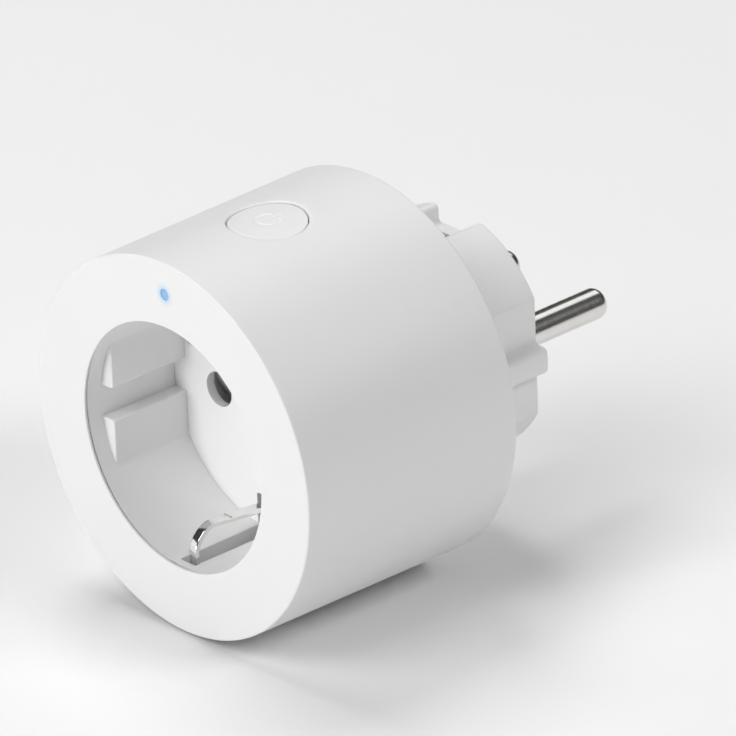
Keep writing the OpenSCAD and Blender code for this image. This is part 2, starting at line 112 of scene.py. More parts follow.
entry_x = 9.5
entry_r = 2.75
entry_edge = 0.06
entry_draft = 0.16
window_half = 2.0  # openings of the earth clip in the socket floor
window_z = (14.3, recess_r)
pivot_r = 1.5
pivot_end = -15.8
boss_r = 1.9       # bosses for the contact carrier's screws
boss_h = 3.15
boss_at = 16.5
boss_angles = (45, 225)

clip_t = 0.8
clip_arm = (-0.8, 0.8)
clip_shoulder = 0.4  # extra width of an arm behind its crimp
clip_crimp_y = front_y + 9.9
clip_bend = (front_y + 7.2, 18.7)
clip_bend_r = 3.95
clip_corner_r = 3.1  # the bend is two tighter turns with a straight between them
clip_tilt = 7
clip_foot_z = 20.2
clip_bridge_y = -14
clip_bridge_z = 15.6
clip_rear_r = 1.3
crimp_half = 0.3
crimp_depth = 0.16
bridge_half = 2.5    # half the width of a strip that crosses behind
bridge_hole_r = 1.8

spring_r = 2.3
spring_wire_r = 0.2
spring_turns = 3.5
spring_rise = 0.5  # for each turn
spring_y = floor_y + floor_t + 3.5
spring_leg_x = 2.6

button_y = front_y + 20.2
button_r = 5.95
button_hole_r = 6.1
button_rim = 0.28    # rounded edge of the button hole
button_edge = 0.3
button_sunk = 0.2
flange_z = 26.4
flange_t = 0.8
flange_edge = 0.1
stem_r = 1.6
stem_edge = 0.15
symbol_press = 0.07  # depth of the pressed-in symbol

light_z = 24.8
light_r = 0.84
light_hole_r = 0.85
light_rim = 0.06
light_dome = 0.12
light_len = 3.6
light_flange = 0.5

post_at = 24.6  # screw posts
post_r = 2.6
post_angles = (45, 135, 225, 315)
post_end_y = -4.5
post_edge = 0.2
post_hole_r = 1.05
post_hole_end = -14
post_hole_tip_r = 0.9

plug_len = edge_of("plug_body", 1, "y")
plug_r = 18.8
plug_edge = 0.6
plug_corner = 0.9
plug_disc_r = plug_r + 0.03  # disc that fills the rear cover's hole
disc_t = 0.9
disc_edge = 0.12
flange_r = 20                # holds the plug body behind the rear cover
key_x = rib_x - 0.6
key_half = 2.1
key_corner = 1.2
notch_corner = 0.5
groove_z = 15.4
groove_half = 4.2
seat_step = 0.3
face_t = 2.5
plug_wall = 1.8
hollow_corner = 4
hollow_y = -5
earth_z = 10
earth_entry_r = 2.65
earth_slot = (12, 17)        # where the bracket passes the plug face
bracket_slot_half = 2.8
bracket_y = plug_len - face_t - 0.9
bracket_t = 0.6
bracket_r = 1.2
bracket_bend_z = 14.7
sleeve_bore_r = 2.95
sleeve_weld_r = 4.4
pin_r = 2.4
pin_neck_r = 2.2
pin_neck_end = plug_len + 0.15
pin_root_y = 3
pin_rivet_r = 1.4
pin_collar_r = 3.2
pin_collar_y = plug_len - 1.35
pin_collar_t = 1.55
pin_seat_y = 12.7
pin_tip_y = edge_of("live_pin", 1, "y")
pin_round = 1.6

cover_edge = 0.25
cover_boss_r = 2.9
cover_boss_y = -4.4
sunk_r = 2.35     # sunk screw holes of the rear cover
sunk_y = -2.2
shank_hole_r = 1.45
screw_head_y = -2.15
screw_head_r = 2.2
screw_head_h = 1.45
screw_r = 1.0
screw_len = 9.5
screw_pitch = 0.8
recess_turn = 20  # of the first screw's cross, in degrees
screw_turn = 37   # from one screw to the next

COLUMNS = 240     # vertices round the shell
COLUMN_ANGLE = 2 * math.pi / COLUMNS
ROUND = 64        # vertices round a hole or a small part
SMALL_ROUND = 48
BUTTON_COLUMNS = 192
SHARP_ANGLE = 35  # degrees; edges that turn more stay sharp


# ---------------------------------------------------------------- mesh helpers
class Shell:
    """Vertices and faces of a piece, collected ring by ring."""

    def __init__(self):
        self.points = []
        self.faces = []

    def ring(self, points):
        start = len(self.points)
        self.points += [tuple(p) for p in points]
        return list(range(start, len(self.points)))

    def bridge(self, a, b, skip=()):
        for i in range(len(a)):
            j = (i + 1) % len(a)
            if i not in skip:
                self.faces.append((a[i], a[j], b[j], b[i]))

    def skin(self, rings, loop=False):
        """Joins rings of equal length; the ends are closed with a face, or to each other."""
        ids = [self.ring(r) for r in rings]
        for a, b in zip(ids, ids[1:]):
            self.bridge(a, b)
        if loop:
            self.bridge(ids[-1], ids[0])
        else:
            self.faces += [tuple(ids[0]), tuple(ids[-1])]
        return self

    def moved(self, dx=0, dz=0):
        self.points = [(x + dx, y, z + dz) for x, y, z in self.points]
        return self

    def turned_to(self, angle, distance):
        """Moves a shape off the axis; the angle is in degrees from the top."""
        return self.moved(distance * sin_of(angle), distance * cos_of(angle))

    def add(self, other):
        start = len(self.points)
        self.points += other.points
        self.faces += [tuple(i + start for i in f) for f in other.faces]
        return self


def cos_of(degrees):
    return math.cos(math.radians(degrees))


def sin_of(degrees):
    return math.sin(math.radians(degrees))


def arc(cu, cv, r, a0, a1, n):
    """Points on an arc, angles in degrees."""
    steps = [math.radians(a0 + (a1 - a0) * i / n) for i in range(n + 1)]
    return [(cu + r * math.cos(a), cv + r * math.sin(a)) for a in steps]


def spread(a, b, n):
    """n + 1 evenly spaced numbers from a to b."""
    return [a + (b - a) * i / n for i in range(n + 1)]


def across(r, z):
    """Half the width of a circle of radius r at distance z from its middle."""
    return math.sqrt(max(0.0, r * r - z * z))


def circle(r, y, n=COLUMNS):
    """A ring about the Y axis, starting at the top."""
    return [(r * math.sin(2 * math.pi * i / n), y, r * math.cos(2 * math.pi * i / n))
            for i in range(n)]


def lathe(profile, n=96, loop=False):
    """Turns a profile of (radius, y) points about the Y axis."""
    return Shell().skin([circle(r, y, n) for r, y in profile], loop)


def linked(name, data):
    """A new object in the scene."""
    obj = bpy.data.objects.new(name, data)
    bpy.context.scene.collection.objects.link(obj)
    return obj


def to_object(name, shell):
    """Makes a Blender object in metres, with merged points and outward normals."""
    mesh = bpy.data.meshes.new(name)
    mesh.from_pydata([(x * MM, y * MM, z * MM) for x, y, z in shell.points], [], shell.faces)
    bm = bmesh.new()
    bm.from_mesh(mesh)
    bmesh.ops.remove_doubles(bm, verts=bm.verts, dist=MERGE_DISTANCE)
    bmesh.ops.dissolve_degenerate(bm, edges=bm.edges, dist=MERGE_DISTANCE / 2)
    bmesh.ops.recalc_face_normals(bm, faces=bm.faces)
    bm.to_mesh(mesh)
    bm.free()
    return linked(name, mesh)


def combine(obj, shell, operation="DIFFERENCE"):
    """Cuts a shell out of a piece, or joins it on, and applies the result."""
    tool = to_object("tool", shell)
    boolean = obj.modifiers.new("boolean", "BOOLEAN")
    boolean.operation = operation
    boolean.solver = "EXACT"
    boolean.object = tool
    graph = bpy.context.evaluated_depsgraph_get()
    result = bpy.data.meshes.new_from_object(obj.evaluated_get(graph))
    obj.modifiers.clear()
    obj.data = result
    bpy.data.objects.remove(tool)
    return obj


def smooth(mesh):
    mesh.polygons.foreach_set("use_smooth", [True] * len(mesh.polygons))
    mesh.set_sharp_from_angle(angle=math.radians(SHARP_ANGLE))


def finish_piece(obj, slot, nodes, body="housing", look=None):
    """Shades a piece, puts it on its body if it has just one, and hides the CAD nodes it stands in
    for.
    """
    smooth(obj.data)
    weights = obj.modifiers.new("weighted_normals", "WEIGHTED_NORMAL")
    weights.keep_sharp = True
    obj.data.materials.clear()
    obj.data.materials.append(materials[look or slot])
    if body:
        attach(obj, body)
    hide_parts(*nodes)
    return obj


# ---------------------------------------------------------------- materials
class Look:
    """A principled material whose colour, roughness and bump come from procedural nodes."""

    def __init__(self, slot):
        self.slot = slot
        self.material = bpy.data.materials.new(slot + "_look")
        self.material.use_nodes = True
        self.tree = self.material.node_tree
        self.shader = self.tree.nodes["Principled BSDF"]
        self.coords = self.node("ShaderNodeTexCoord").outputs["Object"]

    def node(self, kind, **settings):
        made = self.tree.nodes.new(kind)
        for key, value in settings.items():
            setattr(made, key, value)
        return made

    def link(self, source, target):
        self.tree.links.new(source, target)

    def noise(self, size, detail=2.0, stretch=(1, 1, 1), roughness=0.5):
        """Noise whose features are about size millimetres across."""
        mapping = self.node("ShaderNodeMapping")
        mapping.inputs["Scale"].default_value = stretch
        noise = self.node("ShaderNodeTexNoise")
        noise.inputs["Scale"].default_value = 1 / (size * MM)
        noise.inputs["Detail"].default_value = detail
        noise.inputs["Roughness"].default_value = roughness
        self.link(self.coords, mapping.inputs["Vector"])
        self.link(mapping.outputs["Vector"], noise.inputs["Vector"])
        return noise.outputs["Fac"]

    def remap(self, value, low, high, to_low, to_high):
        """Maps low to to_low and high to to_high, and no further."""
        node = self.node("ShaderNodeMapRange")
        self.link(value, node.inputs["Value"])
        for key, number in (("From Min", low), ("From Max", high),
                            ("To Min", to_low), ("To Max", to_high)):
            node.inputs[key].default_value = number
        return node.outputs["Result"]

    def mix(self, factor, a, b):
        """Colour a where factor is 0 and b where it is 1; a and b are colours or sockets."""
        node = self.node("ShaderNodeMix", data_type="RGBA")
        self.link(factor, node.inputs["Factor"])
        for socket, value in ((node.inputs[6], a), (node.inputs[7], b)):
            if isinstance(value, (tuple, list)):
                socket.default_value = (*value[:3], 1)
            else:
                self.link(value, socket)
        return node.outputs[2]

    def edges(self, low=0.53, high=0.62):
        """1 on convex edges, 0 elsewhere."""
        geometry = self.node("ShaderNodeNewGeometry")
        return self.remap(geometry.outputs["Pointiness"], low, high, 0, 1)

    def bump(self, height, depth, after=None):
        """Normals of a surface whose relief is depth millimetres; after is an earlier bump."""
        node = self.node("ShaderNodeBump")
        node.inputs["Strength"].default_value = 1
        node.inputs["Distance"].default_value = depth * MM
        self.link(height, node.inputs["Height"])
        if after is not None:
            self.link(after, node.inputs["Normal"])
        return node.outputs["Normal"]


def shade(colour, factor):
    return tuple(min(1.0, c * factor) for c in colour[:3])


def surface(slot, colour, roughness, metallic=0.0, mottle=0.03, mottle_size=6, grain=0.003,
            grain_size=0.16, waves=0.0, waves_size=4, wear=0.3, wear_colour=None,
            gloss_spread=0.05, stretch=(1, 1, 1), coat=0.0):
    """The general material: mottled colour, worn edges, uneven gloss, moulded grain and waviness."""
    look = Look(slot)
    uneven = look.noise(mottle_size, 3)
    base = look.mix(look.remap(uneven, 0.3, 0.7, 0, 1),
                    shade(colour, 1 - mottle), shade(colour, 1 + mottle))
    worn = look.edges()
    scuffs = look.noise(0.9, 4)
    worn_here = look.node("ShaderNodeMath", operation="MULTIPLY")
    look.link(worn, worn_here.inputs[0])
    look.link(look.remap(scuffs, 0.45, 0.65, 0, wear), worn_here.inputs[1])
    base = look.mix(worn_here.outputs[0], base, wear_colour or shade(colour, 1.12))
    look.link(base, look.shader.inputs["Base Color"])
    gloss = look.noise(1.8, 3, stretch)
    look.link(look.remap(gloss, 0.3, 0.7, roughness - gloss_spread, roughness + gloss_spread),
              look.shader.inputs["Roughness"])
    normal = look.bump(look.noise(grain_size, 2, stretch), grain)
    if waves:
        normal = look.bump(look.noise(waves_size, 1), waves, after=normal)
    look.link(normal, look.shader.inputs["Normal"])
    look.shader.inputs["Metallic"].default_value = metallic
    look.shader.inputs["Coat Weight"].default_value = coat
    return look


def near_light(look, inner, outer):
    """1 at the status light's window, falling to 0 at outer millimetres from its middle."""
    distance = look.node("ShaderNodeVectorMath", operation="DISTANCE")
    look.link(look.coords, distance.inputs[0])
    distance.inputs[1].default_value = (0, front_y * MM, light_z * MM)
    falling = look.remap(distance.outputs["Value"], inner * MM, outer * MM, 1, 0)
    squared = look.node("ShaderNodeMath", operation="POWER")
    look.link(falling, squared.inputs[0])
    squared.inputs[1].default_value = 2.2
    return squared.outputs[0]


def shell_look():
    """White satin plastic with a painted blue glow round the light window."""
    look = surface("white_shell", (0.82, 0.82, 0.818), 0.42, mottle=0.008, mottle_size=14,
                   grain=0.0035, grain_size=0.22, waves=0.006, waves_size=9, wear=0.2)
    painted_glow = near_light(look, light_hole_r, 2.2)
    base = look.shader.inputs["Base Color"].links[0].from_socket
    # painted light: the status light's blue spill is painted into the base colour
    look.link(look.mix(painted_glow, base, (0.46, 0.66, 0.86)), look.shader.inputs["Base Color"])
    return look


def light_look():
    look = surface("light_blue", (0.24, 0.43, 0.68), 0.3, mottle=0.04, mottle_size=0.6,
                   grain=0.002, grain_size=0.2, coat=0.2)
    centre = near_light(look, 0.1, 1.2)
    look.link(look.mix(centre, (0.10, 0.24, 0.50), (0.22, 0.42, 0.72)),
              look.shader.inputs["Emission Color"])
    look.shader.inputs["Emission Strength"].default_value = 0.12
    return look


def metal(slot, colour, roughness, **more):
    settings = dict(metallic=1.0, mottle=0.03, mottle_size=2.5, grain=0.0012, grain_size=0.12,
                    wear=0.5, wear_colour=shade(colour, 1.15), gloss_spread=0.04)
    settings.update(more)
    return surface(slot, colour, roughness, **settings)


looks = [
    shell_look(),
    surface("white_insert", (0.86, 0.86, 0.858), 0.36, mottle=0.008, mottle_size=12,
            grain=0.002, grain_size=0.2, waves=0.004, waves_size=6, wear=0.2),
    # painted light: the socket floor is the white insert plastic painted brighter, standing in for
    # the stronger light on the recess floor
    surface("socket_floor", (0.94, 0.94, 0.938), 0.34, mottle=0.006, mottle_size=12,
            grain=0.002, grain_size=0.2, waves=0.003, waves_size=6, wear=0.2),
    surface("white_button", (0.85, 0.85, 0.848), 0.40, mottle=0.008, mottle_size=8,
            grain=0.0035, grain_size=0.22, waves=0.003, waves_size=5, wear=0.25),
    surface("ivory_plastic", (0.78, 0.77, 0.74), 0.5, mottle=0.03, grain=0.006),
    surface("grey_shutter", (0.42, 0.42, 0.42), 0.5, mottle=0.05, grain=0.004,
            wear_colour=(0.5, 0.5, 0.5)),
    metal("nickel", (0.80, 0.80, 0.795), 0.13, mottle=0.02, stretch=(1, 0.15, 1),
          grain=0.0008, waves=0.004, waves_size=3),
    metal("pin_metal", (0.78, 0.77, 0.74), 0.22, stretch=(1, 12, 1), grain=0.0015),
    metal("brass", (0.78, 0.60, 0.28), 0.28, mottle=0.08),
    metal("spring_steel", (0.62, 0.62, 0.62), 0.3),
    metal("screw_steel", (0.55, 0.55, 0.56), 0.34, mottle=0.06, grain=0.003),
    surface("green_board", (0.03, 0.22, 0.10), 0.3, mottle=0.12, mottle_size=3, coat=0.3,
            grain=0.008, grain_size=0.5, wear_colour=(0.5, 0.48, 0.3)),
    surface("black_plastic", (0.03, 0.03, 0.03), 0.42, mottle=0.15, grain=0.005,
            wear_colour=(0.10, 0.10, 0.10)),
    surface("chip_black", (0.04, 0.04, 0.045), 0.55, mottle=0.15, grain=0.006,
            wear_colour=(0.12, 0.12, 0.12)),
    surface("blue_epoxy", (0.05, 0.16, 0.45), 0.2, mottle=0.10, coat=0.5, waves=0.03,
            waves_size=2),
    surface("film_cap", (0.70, 0.62, 0.12), 0.32, mottle=0.05, grain=0.003),
    surface("cap_sleeve", (0.05, 0.06, 0.08), 0.25, mottle=0.12, waves=0.01, waves_size=1.5),
    surface("ferrite", (0.10, 0.09, 0.09), 0.6, mottle=0.2, mottle_size=0.8, grain=0.012),
    surface("fuse_body", (0.30, 0.16, 0.08), 0.4, mottle=0.1, grain=0.004),
    metal("shunt_alloy", (0.55, 0.47, 0.38), 0.32, mottle=0.06),
    metal("tinned_steel", (0.70, 0.70, 0.69), 0.3, mottle=0.06, mottle_size=1.2),
    metal("copper", (0.78, 0.42, 0.25), 0.3, mottle=0.08),
    surface("led_body", (0.80, 0.86, 0.92), 0.15, mottle=0.03, coat=0.5),
    light_look(),
]
materials = {look.slot: look.material for look in looks}

for part in frame["record"]["subparts"]:
    node = frame["nodes"][part["node"]]
    if not node.material_slots:
        node.data.materials.append(None)
    for place in node.material_slots:
        place.material = materials[part["material_slot"]]


# ---------------------------------------------------------------- housing
def sleeve_r(y):
    """Outer radius of the tapered sleeve."""
    along = (y + rear_edge_r) / (front_y + edge_r + rear_edge_r)
    return rear_r + (front_r - rear_r) * along


def loop_of(rows, columns):
    """(row, column) pairs round the edge of a block of the grid."""
    return ([(rows[0], c) for c in columns] + [(r, columns[-1]) for r in rows[1:]]
            + [(rows[-1], c) for c in columns[-2::-1]]
            + [(r, columns[0]) for r in rows[-2:0:-1]])


def fill_to_hole(shell, loop, hole, steps, project):
    """Fills between a loop of vertices and a hole's ring of points, and returns the ring's ids."""
    start = [shell.points[i] for i in loop]
    ring = loop
    for k in range(1, steps + 1):
        t = k / steps
        points = [project(tuple(a + (b - a) * t for a, b in zip(p, q)))
                  for p, q in zip(start, hole)]
        inner = shell.ring(points)
        shell.bridge(ring, inner)
        ring = inner
    return ring


button_patch = 8.8              # half the length of skin that is refilled round the button hole
button_columns = range(-11, 12)
light_patch = 1.9
light_columns = range(-4, 5)


def shell_profile(side_y, face_r):
    """Section of the sleeve and ring as (radius, y): outside, front, lip, back and inside."""
    back_y = front_y + ring_t
    back_r = [r for r in face_r if liner_r + gap < r < inner_r]
    inner_y = [y for y in side_y if back_y < y < -cover_t]
    return (
        [(rear_r - rear_edge_r + u, -rear_edge_r + v)
         for u, v in arc(0, 0, rear_edge_r, 90, 10, 5)]
        + [(sleeve_r(y), y) for y in side_y]
        + arc(front_r - edge_r, front_y + edge_r, edge_r, -10, -90, 8)
        + [(r, front_y) for r in face_r[1:]]
        + arc(lip_r + lip_edge_r, front_y + lip_edge_r, lip_edge_r, 252, 180, 4)
        + [(lip_r, front_y + lip_t), (liner_r + gap, front_y + lip_t), (liner_r + gap, back_y)]
        + [(r, back_y) for r in back_r[::-1]] + [(inner_r, back_y)]
        + [(inner_r, y) for y in inner_y[::-1]]
        + [(inner_r, -cover_t), (rim_r, -cover_t), (rim_r, 0)])


def open_button_hole(shell, outer, inner):
    """Joins the loops of the outer and inner skin by a hole whose rim rolls over."""
    turns = [math.atan2(shell.points[i][1] - button_y, shell.points[i][0]) for i in outer]

    def ring_at(r, top):
        points = [(r * math.cos(a), button_y + r * math.sin(a)) for a in turns]
        return [(x, y, top(x, y)) for x, y in points]

    def on_sleeve(x, y):
        return across(sleeve_r(y), x)

    ring = fill_to_hole(shell, outer, ring_at(button_hole_r + button_rim, on_sleeve), 5,
                        lambda p: (p[0], p[1], on_sleeve(p[0], p[1])))
    for a in (22.5, 45, 67.5, 90):
        r = button_hole_r + button_rim * (1 - sin_of(a))
        sunk = button_rim * (1 - cos_of(a))
        lower = shell.ring(ring_at(r, lambda x, y: on_sleeve(x, y) - sunk))
        shell.bridge(ring, lower)
        ring = lower
    below = fill_to_hole(shell, inner, ring_at(button_hole_r, lambda x, y: across(inner_r, x)), 3,
                         lambda p: (p[0], p[1], across(inner_r, p[0])))
    shell.bridge(ring, below)


def open_light_hole(shell, front, back):
    turns = [math.atan2(shell.points[i][2] - light_z, shell.points[i][0]) for i in front]

    def ring_at(r, y):
        return [(r * math.cos(a), y, light_z + r * math.sin(a)) for a in turns]

    ring = fill_to_hole(shell, front, ring_at(light_hole_r + light_rim, front_y), 3, lambda p: p)
    lower = shell.ring(ring_at(light_hole_r, front_y + light_rim))
    shell.bridge(ring, lower)
    shell.bridge(lower, fill_to_hole(shell, back, ring_at(light_hole_r, front_y + ring_t), 2,
                                     lambda p: p))


def front_shell():
    """Sleeve and front ring as one closed skin, with the button hole, light hole and posts."""
    side_y = spread(-rear_edge_r, front_y + edge_r, 52)
    face_r = spread(front_r - edge_r, lip_r + lip_edge_r, 24)
    back_y = front_y + ring_t
    profile = shell_profile(side_y, face_r)
    row_of = {(round(r, 4), round(y, 4)): i for i, (r, y) in enumerate(profile)}

    def rows_at(points):
        return [row_of[(round(r, 4), round(y, 4))] for r, y in points]

    button_rows = [y for y in side_y if abs(y - button_y) < button_patch]
    light_rows = [r for r in face_r if abs(r - light_z) < light_patch]
    patches = {
        "outer": (rows_at([(sleeve_r(y), y) for y in button_rows]), button_columns),
        "inner": (rows_at([(inner_r, y) for y in button_rows]), button_columns),
        "front": (rows_at([(r, front_y) for r in light_rows]), light_columns),
        "back": (rows_at([(r, back_y) for r in light_rows]), light_columns),
    }
    shell = Shell()
    ids = [shell.ring(circle(r, y)) for r, y in profile]
    for i in range(len(ids)):
        j = (i + 1) % len(ids)
        skip = set()
        for rows, columns in patches.values():
            if i in rows and j in rows:
                skip |= {c % COLUMNS for c in columns[:-1]}
        shell.bridge(ids[i], ids[j], skip)
    loops = {name: [ids[r][c % COLUMNS] for r, c in loop_of(rows, list(columns))]
             for name, (rows, columns) in patches.items()}
    open_button_hole(shell, loops["outer"], loops["inner"])
    open_light_hole(shell, loops["front"], loops["back"])
    for angle in post_angles:
        post = lathe([(post_hole_r, post_end_y), (post_r - post_edge, post_end_y),
                      (post_r, post_end_y - post_edge), (post_r, back_y - overlap),
                      (post_hole_tip_r, back_y - overlap), (post_hole_tip_r, post_hole_end - 2),
                      (post_hole_r, post_hole_end)], SMALL_ROUND, loop=True)
        shell.add(post.turned_to(angle, post_at))
    return shell


# ---------------------------------------------------------------- socket recess
def wall_outline(depth, notch, rib):
    """Quarter outline of the recess wall at one depth; rib is the ribs' x, or None ahead of them."""
    r = recess_r - draft * depth / recess_depth
    land = flat_z + (flat_corner if notch > flat_z else 0)
    points = [(0, notch), (slot_half / 2, notch), (slot_half, notch),
              (slot_half, (notch + flat_z) / 2), (slot_half, land),
              (slot_half + flat_corner, flat_z), (across(r, flat_z) - 0.5, flat_z),
              (across(r, flat_z), flat_z)]
    chord = rib if rib else rib_x + rib_round
    rib_top = across(r, chord)
    start = math.asin(across(r, flat_z) / r)
    end = math.acos(rib_top / r)
    points += [(r * math.sin(a), r * math.cos(a)) for a in spread(start, end, 24)[1:]]
    low = channel_half + rib_turn_r
    for z in spread(rib_top, low, 10)[1:]:
        points.append((rib if rib else across(r, z), z))
    for u, v in arc(chord + rib_turn_r, low, rib_turn_r, 180, 270, 4)[1:]:
        points.append((u if rib else across(r, v), v))
    wall_x = across(r, channel_half)
    for t in (0.4, 0.85, 1):
        x = chord + rib_turn_r + (wall_x - chord - rib_turn_r) * t
        points.append((x if rib else wall_x, channel_half))
    points += [(across(r, z), z) for z in spread(channel_half, 0, 4)[1:]]
    return points


def four_ways(quarter):
    """Mirrors a quarter outline, from the top to the side, into the whole one."""
    half = quarter + [(x, -z) for x, z in quarter[-2::-1]]
    return half + [(-x, z) for x, z in half[-2:0:-1]]


def liner_shell():
    """Wall of the recess: guide ribs, flats and the pockets of the earth clip."""
    front = lip_t + seam
    back = floor_y - gap
    step = slot_front + slot_step
    levels = [(front, flat_z, None), (1.2, flat_z, None), (slot_front, flat_z, None),
              (slot_front, slot_first, None), (step, slot_first, None), (step, slot_deep, None),
              (rib_start, slot_deep, None)]
    for a in (0, 30, 60, 90):
        levels.append((rib_start + rib_round * (1 - cos_of(a)), slot_deep,
                       rib_x + rib_round * (1 - sin_of(a))))
    levels += [(d, slot_deep, rib_x) for d in spread(rib_start + rib_round, recess_depth, 8)[1:]]
    rings = []
    for depth, notch, rib in levels:
        y = min(front_y + depth, back)
        rings.append([(x, y, z) for x, z in four_ways(wall_outline(depth, notch, rib))])
    block = [(0, pocket_top), (pocket_half / 2, pocket_top), (pocket_half, pocket_top),
             (pocket_half, pocket_top - 0.5), (pocket_half, pocket_top - 1),
             (pocket_foot, across(liner_r, pocket_foot))]
    turn = math.asin(pocket_foot / liner_r)
    count = len(wall_outline(0, flat_z, None)) - len(block)
    rest = spread(turn, math.pi / 2, count)[1:]
    outside = four_ways(block + [(liner_r * math.sin(a), liner_r * math.cos(a)) for a in rest])
    for y in (back, front_y + front):
        rings.append([(x, y, z) for x, z in outside])
    return Shell().skin(rings, loop=True)


def entry_cutter():
    """Cutter for a pin entry: drafted, with a rounded edge in front."""
    rounding = [(entry_r + entry_edge * (1 - sin_of(a)), floor_y + entry_edge * (1 - cos_of(a)))
                for a in (8, 30, 52, 75)]
    return lathe([(entry_r + entry_edge, floor_y - 1)] + rounding
                 + [(entry_r, floor_y + entry_edge),
                    (entry_r + entry_draft, floor_y + floor_t + overlap)], ROUND)


def slab(x0, x1, z0, z1, y0, y1, corner=0.25):
    """A block along Y with rounded corners."""
    outline = []
    for cx, cz, a in ((x1 - corner, z1 - corner, 0), (x0 + corner, z1 - corner, 90),
                      (x0 + corner, z0 + corner, 180), (x1 - corner, z0 + corner, 270)):
        outline += arc(cx, cz, corner, a, a + 90, 4)
    return Shell().skin([[(x, y, z) for x, z in outline] for y in (y0, y1)])


def floor_outline():
    """Disc with an ear round each screw post."""
    ear, ear_limit = post_r + 1.8, inner_r - 0.4
    outline = []
    for i in range(COLUMNS):
        a = i * COLUMN_ANGLE
        r = liner_r
        for post in post_angles:
            off = abs((a - math.radians(post) + math.pi) % (2 * math.pi) - math.pi)
            if off < math.asin(ear / post_at):
                reach = post_at * math.cos(off) + across(ear, post_at * math.sin(off))
                r = min(ear_limit, reach)
        outline.append((r * math.sin(a), r * math.cos(a)))
    return outline


def floor_piece():
    """Socket floor with its screw bosses, pivot, pin entries and windows for the earth clip."""
    outline = floor_outline()
    back = floor_y + floor_t
    obj = to_object("socket_floor_moulding",
                    Shell().skin([[(x, y, z) for x, z in outline] for y in (floor_y, back)]))
    for s in (-1, 1):
        combine(obj, entry_cutter().moved(s * entry_x))
        z0, z1 = sorted((s * window_z[0], s * window_z[1]))
        combine(obj, slab(-window_half, window_half, z0, z1, floor_y - 1, back + 1))
    for angle in post_angles:
        hole = lathe([(post_r + gap, floor_y - 1), (post_r + gap, back + 1)], SMALL_ROUND)
        combine(obj, hole.turned_to(angle, post_at))
    extra = Shell()
    for angle in boss_angles:
        ends = (back - overlap, back + boss_h)
        boss = lathe([(post_hole_r, ends[0]), (boss_r, ends[0]), (boss_r, ends[1]),
                      (post_hole_r, ends[1])], SMALL_ROUND, True)
        extra.add(boss.turned_to(angle, boss_at))
    bevel = 0.3
    extra.add(lathe([(0, back - overlap), (pivot_r, back - overlap), (pivot_r, pivot_end - bevel),
                     (pivot_r - bevel, pivot_end), (0, pivot_end)], SMALL_ROUND))
    return combine(obj, extra, "UNION")


# ---------------------------------------------------------------- metal strips
def strip_shell(path, sections, rounding):
    """A bent strip: path is (y, z) points; sections(y) gives (x low, x high, inner, outer)."""
    rings = []
    for i, (y, z) in enumerate(path):
        before = Vector(path[i]) - Vector(path[max(i - 1, 0)])
        after = Vector(path[min(i + 1, len(path) - 1)]) - Vector(path[i])
        along = (before.normalized() + after.normalized()).normalized()
        inward = Vector((-along.y, along.x))
        x0, x1, inner, outer = sections(y)
        corners = ((x1, inner, 0), (x0, inner, 90), (x0, -outer, 180), (x1, -outer, 270))
        ring = []
        for x, n, a in corners:
            cx = x - rounding if x == x1 else x + rounding
            cn = n - rounding if n == inner else n + rounding
            for u, v in arc(cx, cn, rounding, a, a + 90, 4):
                p = Vector((y, z)) + inward * v
                ring.append((u, p.x, p.y))
        rings.append(ring)
    return Shell().skin(rings)


def mirror_path(half):
    """A path below the axis followed by its mirror image above it."""
    return [(y, -z) for y, z in half] + half[::-1]


def clip_path():
    """Lower half of the earth clip's middle line as (y, z): foot, bend, arm and crossing."""
    y, z = clip_bend
    out = clip_bend_r - clip_corner_r
    back = out * (math.sqrt(2) - 1)
    bend = (arc(y - out, z - back, clip_corner_r, 180, 225, 14)
            + arc(y - back, z - out, clip_corner_r, 225, 270 + clip_tilt, 16))
    rear = arc(clip_bridge_y - clip_rear_r, clip_bridge_z, clip_rear_r, 90 + clip_tilt, 0, 8)
    (y0, z0), (y1, z1) = bend[-1], rear[0]
    crimp = (-0.7, -0.36, -0.28, -0.2, -0.12, -0.04, 0.04, 0.12, 0.2, 0.28, 0.36, 0.5, 0.9)
    stops = [clip_crimp_y + d for d in crimp] + [-27.5, -24, -20, -17.5]
    arm = [(y, z0 + (z1 - z0) * (y - y0) / (y1 - y0)) for y in stops]
    return [(bend[0][0], clip_foot_z)] + bend + arm + rear + [(clip_bridge_y, 10), (clip_bridge_y, 3)]


def earth_clip_piece():
    """Sprung nickel strip with rounded edges, a crimp across each arm and a shoulder behind it."""
    def sections(y):
        x0, x1 = clip_arm
        inner = clip_t / 2
        if y > clip_crimp_y + 0.24:
            x0 -= clip_shoulder
        if y > clip_bridge_y - 0.02:
            x0, x1 = -bridge_half, bridge_half
        off = abs(y - clip_crimp_y)
        if off < crimp_half:
            inner -= crimp_depth * math.cos(off / crimp_half * math.pi / 2)
        return x0, x1, inner, clip_t / 2

    obj = to_object("earth_clip_strip", strip_shell(mirror_path(clip_path()), sections, 0.2))
    hole = lathe([(bridge_hole_r, clip_bridge_y - 1), (bridge_hole_r, clip_bridge_y + 1)],
                 SMALL_ROUND)
    return combine(obj, hole)


